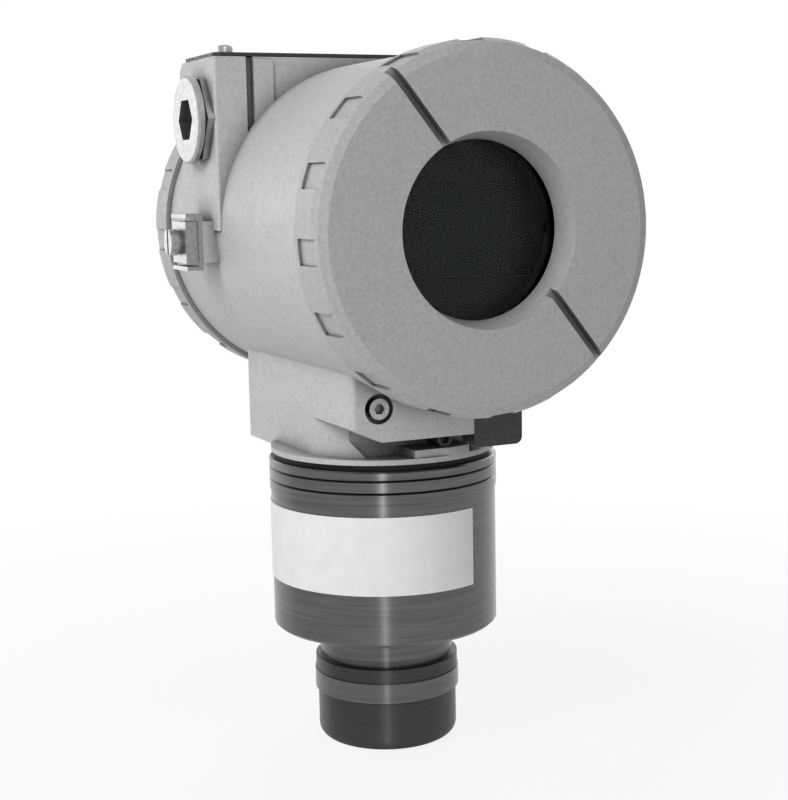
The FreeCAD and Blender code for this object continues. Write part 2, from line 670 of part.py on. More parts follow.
def rear_lock_screw():
    centre = V(LOCK_X, NECK_REAR + LOCK_PROUD, LOCK_Z)
    return socket_screw(LOCK_HEAD_R, LOCK_RECESS + LOCK_PROUD, LOCK_SHANK_R, LOCK_SHANK_L, centre,
                        V(0, -1, 0), LOCK_SOCKET)


def rotation_set_screw():
    tip = -NECK_R - THREAD_PLAY - SET_SCREW_TIP
    screw = cylinder_y(SET_SCREW_R, SET_SCREW_FRONT, tip, SET_SCREW_X, SET_SCREW_Z)
    well = hexagon(
        SET_SOCKET, V(SET_SCREW_X, SET_SCREW_FRONT, SET_SCREW_Z), V(0, 1, 0), SET_SOCKET_DEPTH)
    return screw.cut(well)


def rotation_stop_block():
    body = block((STOP_X[0] + STOP_PLAY, STOP_X[1] - STOP_PLAY), STOP_Y, STOP_Z)
    lower = [
        e for e in body.Edges
        if e.BoundBox.ZMax < STOP_Z[0] + TINY and e.BoundBox.YLength > TINY
    ]
    return body.makeFillet(STOP_CORNER, lower)


# ---------------------------------------------------------------- covers
def cover_profile(rim, way):
    """Outer skin and thread of a cover; way is -1 for the front cover and 1 for the rear."""
    side = rim + way * COVER_SIDE
    face = rim + way * COVER_DEPTH
    mid_r = (COVER_R + COVER_FACE_R) / 2 + COVER_BULGE
    mid = (side + face) / 2 + way * COVER_BULGE
    outer = [(SEAL_BORE_R, rim), (COVER_R, rim), (COVER_R, side), (mid_r, mid), (COVER_FACE_R, face)]
    web = face - way * COVER_WEB
    seal_end = rim + way * COVER_SEAL_L
    inner = [(COVER_BORE_R, web), (COVER_BORE_R, seal_end), (SEAL_BORE_R, seal_end)]
    return outer, inner, face, web


def rim_notches(rim, way):
    """Shallow grip notches round a cover's side."""
    shapes = []
    start = rim + way * NOTCH_MARGIN
    end = rim + way * (COVER_DEPTH + BEYOND)
    low, high = sorted((start, end))
    half = COVER_R * math.sin(math.radians(NOTCH_DEG / 2))
    for i in range(NOTCH_COUNT):
        cutter = block((COVER_R - NOTCH_DEPTH, COVER_R + BEYOND), (low, high), (AXIS_Z - half, AXIS_Z + half))
        cutter.rotate(V(0, 0, AXIS_Z), V(0, -1, 0), NOTCH_FIRST + i * 360.0 / NOTCH_COUNT)
        shapes.append(cutter)
    return shapes


def wrench_slots(rim, way):
    """Narrow slot across the face, broken by whatever the cover's middle leaves open."""
    face = rim + way * COVER_DEPTH
    low, high = sorted((face + way, face - way * WRENCH_SLOT_DEPTH))
    middle = AXIS_Z + WRENCH_SLOT_OFFSET
    reach = COVER_R + BEYOND
    slot = block((-reach, reach), (low, high), (middle - WRENCH_SLOT_W / 2, middle + WRENCH_SLOT_W / 2))
    slot.rotate(V(0, 0, AXIS_Z), V(0, -1, 0), SLOT_ANGLE - 180)
    return slot


def front_cover():
    outer, inner, face, web = cover_profile(FRONT_RIM, -1)
    lip = face + WINDOW_LIP
    seat_r = GLASS_R + SEAT_PLAY
    profile = outer + [
        (WINDOW_FACE_R, face), (WINDOW_R, lip), (seat_r, lip), (seat_r, RETAINER_REAR),
        (HOLDER_R, RETAINER_REAR), (HOLDER_R, web),
    ] + inner
    return turned_y(profile).cut(rim_notches(FRONT_RIM, -1) + [wrench_slots(FRONT_RIM, -1)])


def rear_cover():
    outer, inner, face, web = cover_profile(REAR_RIM, 1)
    profile = outer + [(0, face), (0, web)] + inner
    blank = turned_y(profile)
    slot = wrench_slots(REAR_RIM, 1).cut(cylinder_y(WINDOW_FACE_R, face - COVER_WEB, face + BEYOND))
    return blank.cut(rim_notches(REAR_RIM, 1) + [slot])


def cover_seal(rim, way):
    inner = THREAD_R + COVER_PLAY / 2
    low, high = sorted((rim, rim + way * (COVER_SEAL_L - SEAT_PLAY)))
    return turned_y([(inner, low), (COVER_SEAL_R, low), (COVER_SEAL_R, high), (inner, high)])


def window_gasket():
    low = GLASS_FRONT - GASKET_T
    inner = WINDOW_R + GASKET_SETBACK
    return turned_y([(inner, low), (GLASS_R, low), (GLASS_R, GLASS_FRONT), (inner, GLASS_FRONT)])


def window_glass():
    return cylinder_y(GLASS_R, GLASS_FRONT, GLASS_REAR)


def glass_retainer():
    ring = turned_y([
        (RETAINER_BORE_R, GLASS_REAR), (GLASS_R, GLASS_REAR), (GLASS_R, RETAINER_REAR),
        (RETAINER_BORE_R, RETAINER_REAR),
    ])
    half = RETAINER_KEY / 2
    depth = (RETAINER_REAR - RETAINER_KEY_DEPTH, RETAINER_REAR + BEYOND)
    places = (-RETAINER_BORE_R, RETAINER_BORE_R)
    return ring.cut([block((x - half, x + half), depth, (AXIS_Z - half, AXIS_Z + half)) for x in places])


# ---------------------------------------------------------------- electronics compartment
def electronics_posts():
    places = round_places(POST_CIRCLE_R, POST_COUNT, 90)
    return [cylinder_y(POST_R, BOARD_REAR, WALL_FRONT, x, AXIS_Z + z) for x, z in places]


def electronics_board():
    return cylinder_y(BOARD_R, BOARD_FRONT, BOARD_REAR)


def on_board(component):
    """Box that stands on the board's front."""
    x, z, height = component
    return block(x, (BOARD_FRONT - height, BOARD_FRONT), (AXIS_Z + z[0], AXIS_Z + z[1]))


def board_components():
    """Transformer, capacitors, chip and the signal connector on the board's front."""
    capacitors = [
        cylinder_y(CAPACITOR_R, BOARD_FRONT - CAPACITOR_H, BOARD_FRONT, x, AXIS_Z + z)
        for x, z in CAPACITOR_PLACES
    ]
    connector = block((-CONNECTOR_HALF, CONNECTOR_HALF), (CABLE_Y - CONNECTOR_DEPTH, BOARD_FRONT), (
        CONNECTOR_Z, CONNECTOR_Z + CONNECTOR_H))
    return [on_board(TRANSFORMER)] + capacitors + [on_board(CHIP), connector]


def electronics_shell():
    inner = SHELL_R - SHELL_WALL
    shell = turned_y([
        (0, SHELL_FRONT), (SHELL_R - SHELL_EDGE, SHELL_FRONT), (SHELL_R, SHELL_FRONT + SHELL_EDGE),
        (SHELL_R, BOARD_FRONT), (inner, BOARD_FRONT), (inner, SHELL_FRONT + SHELL_WALL),
        (0, SHELL_FRONT + SHELL_WALL),
    ])
    way_z = (AXIS_Z - SHELL_R - BEYOND, AXIS_Z - inner + CABLE_WAY_DEPTH)
    way_y = (CABLE_Y - CABLE_WAY_DEPTH, BOARD_FRONT + BEYOND)
    cable_way = block((-CABLE_WAY_HALF, CABLE_WAY_HALF), way_y, way_z)
    return shell.cut(cable_way)


def display_module():
    body = turned_y([
        (0, DISPLAY_FRONT), (DISPLAY_R, DISPLAY_FRONT), (DISPLAY_R, DISPLAY_REAR - DISPLAY_EDGE),
        (DISPLAY_R - DISPLAY_EDGE, DISPLAY_REAR), (0, DISPLAY_REAR),
    ])
    wide, high = DISPLAY_SOCKET[0] / 2, DISPLAY_SOCKET[1] / 2
    socket = block((-wide, wide), (DISPLAY_REAR, SHELL_FRONT), (AXIS_Z - high, AXIS_Z + high))
    holes = [
        cylinder_y(DISPLAY_SCREW_R, DISPLAY_FRONT - BEYOND, DISPLAY_REAR + BEYOND, x)
        for x in (-DISPLAY_SCREW_X, DISPLAY_SCREW_X)
    ]
    return body.fuse(socket).cut(holes)


def display_bezel():
    ring = cylinder_y(DISPLAY_R, BEZEL_FRONT, DISPLAY_FRONT)
    window = block((-PANEL_W / 2, PANEL_W / 2), (BEZEL_FRONT - BEYOND, DISPLAY_FRONT + BEYOND), (
        AXIS_Z - PANEL_H / 2, AXIS_Z + PANEL_H / 2))
    holes = [
        cylinder_y(DISPLAY_SCREW_HEAD_R, BEZEL_FRONT - BEYOND, DISPLAY_FRONT + BEYOND, x)
        for x in (-DISPLAY_SCREW_X, DISPLAY_SCREW_X)
    ]
    return ring.cut([window] + holes)


def display_panel():
    half_w = PANEL_W / 2 - SEAT_PLAY
    half_h = PANEL_H / 2 - SEAT_PLAY
    depth = (DISPLAY_FRONT - PANEL_T, DISPLAY_FRONT)
    return block((-half_w, half_w), depth, (AXIS_Z - half_h, AXIS_Z + half_h))


def display_screws():
    screws = []
    for x in (-DISPLAY_SCREW_X, DISPLAY_SCREW_X):
        head = cylinder_y(DISPLAY_SCREW_HEAD_R - SEAT_PLAY, BEZEL_FRONT, DISPLAY_FRONT, x)
        shank = cylinder_y(DISPLAY_SCREW_R, DISPLAY_FRONT, SHELL_FRONT, x)
        screws.append(head.fuse(shank).cut(screw_slot(BEZEL_FRONT, -1, x, AXIS_Z)))
    return screws


def cable_plug():
    return cylinder_z(PLUG_R, PIN_TOP, PIN_TOP + PLUG_H)


def signal_cable():
    """Wire bundle from the plug, forward under the partition and up to the board's connector."""
    run_z = PIN_TOP + PLUG_H - CABLE_R - CABLE_RISE
    bend_y = CABLE_Y + CABLE_BEND_R
    level = Part.makeCylinder(CABLE_R, -PLUG_R - bend_y, V(0, -PLUG_R, run_z), V(0, -1, 0))
    upright = Part.makeCylinder(CABLE_R, CONNECTOR_Z - run_z - CABLE_BEND_R,
                                V(0, CABLE_Y, run_z + CABLE_BEND_R), V(0, 0, 1))
    section = Part.Face(Part.Wire(Part.makeCircle(CABLE_R, V(0, bend_y, run_z), V(0, -1, 0))))
    elbow = section.revolve(V(0, bend_y, run_z + CABLE_BEND_R), V(1, 0, 0), -90)
    return level.fuse([elbow, upright])


# ---------------------------------------------------------------- terminal compartment
def feedthroughs():
    return [cylinder_y(FEED_R, WALL_FRONT - FEED_PROUD, WALL_REAR, x) for x in (-FEED_X, FEED_X)]


def bay_places():
    return (-BAY_PITCH, 0.0, BAY_PITCH)


def terminal_block():
    base = cylinder_y(TERMINAL_BASE_R, WALL_REAR, WALL_REAR + TERMINAL_BASE_T)
    front = WALL_REAR + TERMINAL_BASE_T
    raised = block((-TERMINAL_HALF, TERMINAL_HALF), (front, front + TERMINAL_L), TERMINAL_Z)
    raised = raised.common(cylinder_y(TERMINAL_BASE_R - TERMINAL_INSET, front, front + TERMINAL_L))
    top = front + TERMINAL_L
    bays = [
        block((x - BAY_W / 2, x + BAY_W / 2), (top - BAY_DEPTH, top + BEYOND), BAY_Z)
        for x in bay_places()
    ]
    return base.fuse(raised).cut(bays)


def terminal_plates():
    floor = WALL_REAR + TERMINAL_BASE_T + TERMINAL_L - BAY_DEPTH
    half = PLATE_SIDE / 2
    mid = sum(BAY_Z) / 2
    plates = []
    for x in bay_places():
        plate = block((x - half, x + half), (floor, floor + PLATE_T), (mid - half, mid + half))
        plates.append(plate)
    return plates


def slotted_head(radius, height, seat, x, z):
    """Slotted screw head that stands on a face of the terminal compartment."""
    head = cylinder_y(radius, seat, seat + height, x, z)
    return head.cut(screw_slot(seat + height, 1, x, z))


def terminal_screws():
    floor = WALL_REAR + TERMINAL_BASE_T + TERMINAL_L - BAY_DEPTH + PLATE_T
    mid = sum(BAY_Z) / 2
    return [slotted_head(TERMINAL_SCREW_R, TERMINAL_SCREW_H, floor, x, mid) for x in bay_places()]


def terminal_block_screws():
    face = WALL_REAR + TERMINAL_BASE_T
    places = (-HOLD_SCREW_OUT, HOLD_SCREW_OUT)
    return [slotted_head(HOLD_SCREW_R, HOLD_SCREW_H, face, x, AXIS_Z + HOLD_SCREW_OUT) for x in places]


def compartment_ground_screw():
    return slotted_head(HOLD_SCREW_R, HOLD_SCREW_H, WALL_REAR + TERMINAL_BASE_T, 0, INNER_GROUND_Z)


# ---------------------------------------------------------------- outside fittings
def conduit_plug():
    """Ring and hexagon outside, taper thread inside, and a hexagon socket for the key."""
    hex_end = -BOSS_X - PLUG_HEX_H
    ring_start = hex_end - PLUG_GROOVE_H
    outer = ring_start - PLUG_RING_H
    flats = hexagon(PLUG_FLATS, V(hex_end, CONDUIT_Y, CONDUIT_Z), V(1, 0, 0), PLUG_HEX_H)
    waist = cylinder_x(PLUG_WAIST_R, ring_start, hex_end, CONDUIT_Y, CONDUIT_Z)
    ring = cylinder_x(PLUG_FLANGE_R, outer, ring_start, CONDUIT_Y, CONDUIT_Z)
    rim = [e for e in ring.Edges if e.BoundBox.XMax < outer + TINY]
    body = plug_taper(PLUG_PLAY).fuse([flats, waist, ring.makeChamfer(PLUG_RIM, rim)])
    return body.cut(hexagon(PLUG_SOCKET, V(outer, CONDUIT_Y, CONDUIT_Z), V(1, 0, 0), PLUG_SOCKET_DEPTH))


def ground_clamp():
    """Thick square block on a plate whose upper and lower edges are turned outwards."""
    outer = LUG_X - CLAMP_T
    rise = CLAMP_LIP_GAP + CLAMP_LIP_T
    plate = block((LUG_X - CLAMP_PLATE_T, LUG_X), LUG_Y, (LUG_Z[0] - rise, LUG_Z[1] + rise))
    middle = block((outer, LUG_X), (LUG_Y[0] + CLAMP_SIDE, LUG_Y[1] - CLAMP_SIDE), LUG_Z)
    lips = [
        block((outer, LUG_X), LUG_Y, (LUG_Z[0] - rise, LUG_Z[0] - CLAMP_LIP_GAP)),
        block((outer, LUG_X), LUG_Y, (LUG_Z[1] + CLAMP_LIP_GAP, LUG_Z[1] + rise)),
    ]
    hole = cylinder_x(GROUND_SHANK_R + SCREW_PLAY, outer - BEYOND, LUG_X + BEYOND, *LUG_AXIS)
    return plate.fuse([middle] + lips).cut(hole).removeSplitter()


def ground_lock_washer():
    outer = LUG_X - CLAMP_T
    head_side = outer - LOCK_WASHER_T
    ring = cylinder_x(LOCK_WASHER_R, head_side, outer, *LUG_AXIS)
    return ring.cut(cylinder_x(GROUND_SHANK_R + SCREW_PLAY, head_side - BEYOND, outer + BEYOND, *LUG_AXIS))


def ground_screw():
    seat = LUG_X - CLAMP_T - LOCK_WASHER_T
    head = cylinder_x(GROUND_HEAD_R, seat - GROUND_HEAD_T, seat, *LUG_AXIS)
    shank = cylinder_x(GROUND_SHANK_R, seat, LUG_X + GROUND_SHANK_L, *LUG_AXIS)
    outer = seat - GROUND_HEAD_T
    mid_y, mid_z = LUG_AXIS
    slot_y = (mid_y - SLOT_W / 2, mid_y + SLOT_W / 2)
    slot = block((outer - BEYOND, outer + SLOT_DEPTH), slot_y, (mid_z - SLOT_REACH, mid_z + SLOT_REACH))
    return head.fuse(shank).cut(slot)


def nameplate():
    """Plate over the buttons; its far hole is open, so the plate can swing clear."""
    half = BOSS_X - NAMEPLATE_INSET
    depth = (BOSS_FRONT + NAMEPLATE_INSET, BOSS_REAR - BOSS_CHAMFER)
    plate = block((-half, half), depth, (PLATE_Z, PLATE_TOP))
    plate = plate.makeFillet(NAMEPLATE_CORNER, vertical_edges(plate))
    pivot = V(-NAMEPLATE_SCREW_X, NAMEPLATE_SCREW_Y, PLATE_Z - BEYOND)
    through = NAMEPLATE_T + 2 * BEYOND
    reach = 2 * NAMEPLATE_SCREW_X
    pivot_hole = Part.makeCylinder(NAMEPLATE_HOLE_R, through, pivot)
    outer = Part.makeCylinder(reach + NAMEPLATE_HOLE_R, through, pivot, V(0, 0, 1), TRACK_DEG)
    inner = Part.makeCylinder(reach - NAMEPLATE_HOLE_R, through, pivot)
    track = outer.cut(inner)
    track.rotate(pivot, V(0, 0, 1), -TRACK_DEG)
    far_hole = cylinder_z(
        NAMEPLATE_HOLE_R, PLATE_Z - BEYOND, PLATE_TOP + BEYOND, NAMEPLATE_SCREW_X, NAMEPLATE_SCREW_Y)
    return plate.cut([pivot_hole, far_hole, track])


def nameplate_screws():
    screws = []
    head_z = PLATE_TOP + SMALL_HEAD_RISE
    for x in (-NAMEPLATE_SCREW_X, NAMEPLATE_SCREW_X):
        shank = cylinder_z(SMALL_SHANK_R, PLATFORM_TOP - SMALL_SHANK_L, head_z, x, NAMEPLATE_SCREW_Y)
        head = cylinder_z(SMALL_HEAD_R, head_z, head_z + SMALL_HEAD_T, x, NAMEPLATE_SCREW_Y)
        top = [e for e in head.Edges if e.BoundBox.ZMin > head_z + SMALL_HEAD_T - TINY]
        screws.append(shank.fuse(head.makeFillet(SMALL_HEAD_EDGE, top)))
    return screws


def button(x):
    return cylinder_z(BUTTON_R, BUTTON_TOP - BUTTON_H, BUTTON_TOP, x, BUTTON_Y)


def button_spring(x):
    low = BUTTON_FLOOR + SPRING_WIRE_R
    height = BUTTON_TOP - BUTTON_H - BUTTON_FLOOR - 2 * SPRING_WIRE_R
    path = Part.makeHelix(height / SPRING_TURNS, height, SPRING_R)
    places = round_places(SPRING_WIRE_R, SPRING_WIRE_SIDES)
    corners = [V(SPRING_R + across, 0, up) for across, up in places]
    section = Part.makePolygon(corners + corners[:1])
    spring = Part.Wire(path).makePipeShell([section], True, True)
    spring.translate(V(x, BUTTON_Y, low))
    return spring


# ---------------------------------------------------------------- write every sub-part
def sub_parts():
    """Every sub-part by name, as one solid or a list of separate solids."""
    return {
        "process_connection": process_connection(),
        "isolating_diaphragm": isolating_diaphragm(),
        "sensor_capsule": sensor_capsule(),
        "module_shell": module_shell(),
        "module_label": module_label(),
        "module_cap": module_cap(),
        "module_header": module_header(),
        "header_pins": header_pins(),
        "sensor_board": sensor_board(),
        "board_standoffs": board_standoffs(),
        "sensor_leads": sensor_leads(),
        "module_ribbon": module_ribbon(),
        "neck_seal": neck_seal(),
        "housing_casting": housing_casting(),
        "front_lock_screw": front_lock_screw(),
        "rear_lock_screw": rear_lock_screw(),
        "rotation_set_screw": rotation_set_screw(),
        "rotation_stop_block": rotation_stop_block(),
        "front_cover": front_cover(),
        "front_cover_seal": cover_seal(FRONT_RIM, -1),
        "window_gasket": window_gasket(),
        "window_glass": window_glass(),
        "glass_retainer": glass_retainer(),
        "rear_cover": rear_cover(),
        "rear_cover_seal": cover_seal(REAR_RIM, 1),
        "electronics_posts": electronics_posts(),
        "electronics_board": electronics_board(),
        "board_components": board_components(),
        "electronics_shell": electronics_shell(),
        "display_module": display_module(),
        "display_bezel": display_bezel(),
        "display_panel": display_panel(),
        "display_screws": display_screws(),
        "cable_plug": cable_plug(),
        "signal_cable": signal_cable(),
        "feedthroughs": feedthroughs(),
        "terminal_block": terminal_block(),
        "terminal_plates": terminal_plates(),
        "terminal_screws": terminal_screws(),
        "terminal_block_screws": terminal_block_screws(),
        "compartment_ground_screw": compartment_ground_screw(),
        "conduit_plug": conduit_plug(),
        "ground_clamp": ground_clamp(),
        "ground_lock_washer": ground_lock_washer(),
        "ground_screw": ground_screw(),
        "nameplate": nameplate(),
        "nameplate_screws": nameplate_screws(),
        "zero_button": button(-BUTTON_X),
        "span_button": button(BUTTON_X),
        "zero_spring": button_spring(-BUTTON_X),
        "span_spring": button_spring(BUTTON_X),
    }


os.makedirs("parts", exist_ok=True)
for name, made in sub_parts().items():
    shape = Part.makeCompound(made) if isinstance(made, list) else made
    shape.exportStep(f"parts/{name}.step")
    state = "valid" if shape.isValid() else "INVALID"
    print(name, len(shape.Solids), "solids", round(shape.Volume), "mm3", state)
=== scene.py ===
import json
import math

import bpy
from mathutils import Matrix, Vector


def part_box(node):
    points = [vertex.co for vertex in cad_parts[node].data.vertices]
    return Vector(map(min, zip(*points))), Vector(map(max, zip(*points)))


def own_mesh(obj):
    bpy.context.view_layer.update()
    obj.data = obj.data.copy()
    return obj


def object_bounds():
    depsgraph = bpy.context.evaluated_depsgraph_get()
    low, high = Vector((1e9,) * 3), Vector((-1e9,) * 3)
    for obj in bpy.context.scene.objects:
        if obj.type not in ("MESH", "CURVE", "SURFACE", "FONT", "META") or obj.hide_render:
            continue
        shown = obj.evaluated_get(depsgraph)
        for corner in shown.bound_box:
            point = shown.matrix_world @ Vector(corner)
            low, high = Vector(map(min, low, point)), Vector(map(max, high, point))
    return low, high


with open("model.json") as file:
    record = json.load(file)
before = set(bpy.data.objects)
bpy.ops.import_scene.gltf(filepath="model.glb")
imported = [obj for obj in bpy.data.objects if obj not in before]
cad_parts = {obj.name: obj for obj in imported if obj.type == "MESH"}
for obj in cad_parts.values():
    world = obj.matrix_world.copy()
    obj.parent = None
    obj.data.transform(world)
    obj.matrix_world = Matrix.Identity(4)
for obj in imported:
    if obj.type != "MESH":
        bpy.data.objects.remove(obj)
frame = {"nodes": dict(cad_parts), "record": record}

MM = 0.001
LOW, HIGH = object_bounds()
CENTRE = (LOW + HIGH) / 2

# ---- camera ----
CAMERA_AZIMUTH = -24.87
CAMERA_ELEVATION = 8.09
CAMERA_ROLL = -1.13
CAMERA_DISTANCE = 0.431
CAMERA_LENS = 69.72
CAMERA_CLIP = 0.01
CAMERA_AIM_UP = 0.4935         # share of the part's height
CAMERA_AIM = Vector((0.0032, -0.0015, LOW.z + CAMERA_AIM_UP * (HIGH.z - LOW.z)))

# ---- light ----
WORLD_LEVEL = 0.18
FLOOR_RADIUS = 4.0
FLOOR_SIDES = 64
FLOOR_DROP = 0.05 * MM
FLOOR_VEIL_NEAR = 0.86         # how much of the floor is plain white to the camera
FLOOR_VEIL_START = 0.08
FLOOR_VEIL_REACH = 0.35
LAMPS = {                      # azimuth, elevation, distance, width, height, power, mirrored
    "key": (-66, 36, 0.6, 0.32, 0.32, 1.75, False),
    "strip": (CAMERA_AZIMUTH, 8, 1.0, 0.016, 0.7, 2.3, True),
    "rim": (-152, 4, 0.9, 0.7, 0.6, 1.5, True),
    "fill": (140, 28, 0.9, 0.6, 0.6, 1.8, True),
}

# ---- threads ----
AXIS = sum(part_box("front_cover"), Vector()) / 2    # housing's axis runs along Y through here
CASTING_LOW, CASTING_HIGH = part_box("housing_casting")
MALE_THREAD_R = 39.5 * MM
FEMALE_THREAD_R = 39.65 * MM
THREAD_L = 7.8 * MM
THREAD_DEPTH = 0.6 * MM
THREAD_BAND = 0.35 * MM        # how far from its radius a surface still counts as threaded
COVER_WEB = 4.9 * MM
PITCH = 1.5 * MM
MOUNTS = {mount["name"]: mount for mount in frame["record"]["mounts"]}

# ---- process connection's two duller bands, darkened with painted shade ----
PORT_FOOT = LOW.z + 13.8 * MM
PORT_FOOT_BLEND = 0.3 * MM
PORT_BAND_MIDDLE = LOW.z + 21.6 * MM
PORT_BAND_HALF = 2.0 * MM


# ---- node helpers ----

class Look:
    """A principled material whose nodes are added one call at a time."""

    def __init__(self, name, colour, roughness, metallic=0.0, specular=0.5):
        self.material = bpy.data.materials.new(name)
        self.material.use_nodes = True
        self.tree = self.material.node_tree
        self.shader = self.tree.nodes["Principled BSDF"]
        self.material.diffuse_color = (*colour, 1.0)
        self.colour = colour
        self.set("Base Color", (*colour, 1.0))
        self.set("Roughness", roughness)
        self.set("Metallic", metallic)
        self.set("Specular IOR Level", specular)
        self.place = self.node("ShaderNodeTexCoord").outputs["Object"]

    def node(self, kind, **settings):
        made = self.tree.nodes.new(kind)
        for key, value in settings.items():
            setattr(made, key, value)
        return made

    def feed(self, socket, value):
        """Link a socket to an output, or set it to a plain value."""
        if isinstance(value, bpy.types.NodeSocket):
            self.tree.links.new(value, socket)
        else:
            socket.default_value = value

    def set(self, socket, value):
        self.feed(self.shader.inputs[socket], value)

    def noise(self, grain, detail=4.0, stretch=(1, 1, 1)):
        """Noise whose grain is a length in metres."""
        mapping = self.node("ShaderNodeMapping")
        self.feed(mapping.inputs["Scale"], stretch)
        self.feed(mapping.inputs["Vector"], self.place)
        made = self.node("ShaderNodeTexNoise")
        self.feed(made.inputs["Scale"], 1.0 / grain)
        self.feed(made.inputs["Detail"], detail)
        self.feed(made.inputs["Vector"], mapping.outputs["Vector"])
        return made.outputs["Fac"]

    def ranged(self, value, low, high, start=0.35, end=0.65):
        """Value mapped from start..end to low..high, and held at its ends."""
        made = self.node("ShaderNodeMapRange")
        self.feed(made.inputs["From Min"], start)
        self.feed(made.inputs["From Max"], end)
        self.feed(made.inputs["To Min"], low)
        self.feed(made.inputs["To Max"], high)
        self.feed(made.inputs["Value"], value)
        return made.outputs["Result"]

    def math(self, operation, *values):
        made = self.node("ShaderNodeMath", operation=operation)
        for socket, value in zip(made.inputs, values):
            self.feed(socket, value)
        return made.outputs["Value"]

    def split(self, vector):
        made = self.node("ShaderNodeSeparateXYZ")
        self.feed(made.inputs["Vector"], vector)
        return made.outputs

    def paint(self, fac, below, above, blend="MIX"):
        """Base colour mixed from two colours, which it returns for the next layer."""
        made = self.node("ShaderNodeMix", data_type="RGBA", blend_type=blend)
        self.feed(made.inputs["Factor"], fac)
        self.feed(made.inputs["A"], below)
        self.feed(made.inputs["B"], above)
        self.set("Base Color", made.outputs["Result"])
        return made.outputs["Result"]

    def mottle(self, grain, spread, detail=4.0, stretch=(1, 1, 1)):
        """Base colour that varies by spread either side of its plain one."""
        fac = self.ranged(self.noise(grain, detail, stretch), 0.0, 1.0)
        dark = [c * (1 - spread) for c in self.colour]
        light = [c * (1 + spread) for c in self.colour]
        return self.paint(fac, (*dark, 1.0), (*light, 1.0))

    def painted_recess_shade(self, below, reach, darkest):
        """Base colour with painted shade: darkened by ambient occlusion in grooves and corners,
        where shade falls.
        """
        open_air = self.node("ShaderNodeAmbientOcclusion", samples=6)
        self.feed(open_air.inputs["Distance"], reach)
        shade = self.ranged(open_air.outputs["AO"], darkest, 1.0, 0.3, 0.85)
        return self.paint(1.0, below, shade, "MULTIPLY")

    def turns(self, axis, centre, radius, middle, length):
        """Profile and mask of screw turns on a cylinder about an axis (0, 1 or 2)."""
        move = self.node("ShaderNodeVectorMath", operation="SUBTRACT")
        self.feed(move.inputs[0], self.place)
        self.feed(move.inputs[1], centre)
        parts = self.split(move.outputs["Vector"])
        along, a, b = (parts[(axis + i) % 3] for i in range(3))
        squares = self.math("ADD", self.math("MULTIPLY", a, a), self.math("MULTIPLY", b, b))
        radial = self.math("SQRT", squares)
        turn = self.math("MULTIPLY", self.math("ARCTAN2", b, a), 1 / math.tau)
        phase = self.math("ADD", self.math("MULTIPLY", along, 1 / PITCH), turn)
        profile = self.math("MULTIPLY", self.math("PINGPONG", phase, 0.5), 2.0)
        on_side = self.math("COMPARE", radial, radius, THREAD_BAND)
        on_length = self.math("COMPARE", along, middle, length / 2)
        mask = self.math("MULTIPLY", on_side, on_length)
        return self.math("MULTIPLY", profile, mask), mask

    def vary_roughness(self, grain, low, high):
        self.set("Roughness", self.ranged(self.noise(grain, 3.0), low, high))

    def bump(self, strength, *heights):
        """Bump from one or more 0 to 1 heights, each given as (height, depth in metres)."""
        normal = None
        for height, depth in heights:
            made = self.node("ShaderNodeBump")
            self.feed(made.inputs["Strength"], strength)
            self.feed(made.inputs["Distance"], depth)
            self.feed(made.inputs["Height"], height)
            if normal is not None:
                self.feed(made.inputs["Normal"], normal)
            normal = made.outputs["Normal"]
        self.set("Normal", normal)


def grey(level):
    """Linear grey for an 8-bit screen level."""
    share = level / 255
    linear = share / 12.92 if share <= 0.04045 else ((share + 0.055) / 1.055) ** 2.4
    return (linear, linear, linear * 1.01)


# ---- threads and holes ----

def mount_hole(name):
    """Mouth, radius and length of a threaded hole in the record, in metres."""
    mount = MOUNTS[name]
    return mount["pos_m"], mount["dims"]["r_mm"] * MM, mount["dims"]["length_mm"] * MM


def casting_threads():
    """Male threads at both ends and the open conduit entry's female one, as for turns()."""
    middle = THREAD_L / 2
    place, radius, length = mount_hole("conduit_entry")
    return [
        (1, (AXIS.x, CASTING_LOW.y, AXIS.z), MALE_THREAD_R, middle, THREAD_L),
        (1, (AXIS.x, CASTING_HIGH.y, AXIS.z), MALE_THREAD_R, -middle, THREAD_L),
        (0, place, radius, -length / 2, length),
    ]


def cover_threads():
    """Female thread of each cover from its web to its rim, as for turns()."""
    threads = []
    for node, way in (("front_cover", 1), ("rear_cover", -1)):
        low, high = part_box(node)
        length = high.y - low.y - COVER_WEB
        face = low.y if way > 0 else high.y
        start = (AXIS.x, face + way * COVER_WEB, AXIS.z)
        threads.append((1, start, FEMALE_THREAD_R, way * length / 2, length))
    return threads


# ---- materials ----

def cast_paint(name, level, spread, threads):
    """Satin paint on a casting, with bare metal on its threads."""
    look = Look(name, grey(level), 0.5, specular=0.35)
    # painted shade: the paint darkens in grooves, corners and under overhangs
    colour = look.painted_recess_shade(look.mottle(1.0 * MM, spread, 8.0), 9 * MM, 0.16)
    look.vary_roughness(3 * MM, 0.45, 0.62)
    heights = [(look.noise(1.1 * MM, 3.0), 0.14 * MM), (look.noise(0.35 * MM, 2.0), 0.05 * MM)]
    bare = 0.0
    for thread in threads:
        profile, mask = look.turns(*thread)
        heights.append((profile, THREAD_DEPTH))
        bare = look.math("MAXIMUM", bare, mask)
    look.paint(bare, colour, (*grey(168), 1.0))
    look.set("Metallic", bare)
    look.bump(0.6, *heights)
    return look.material


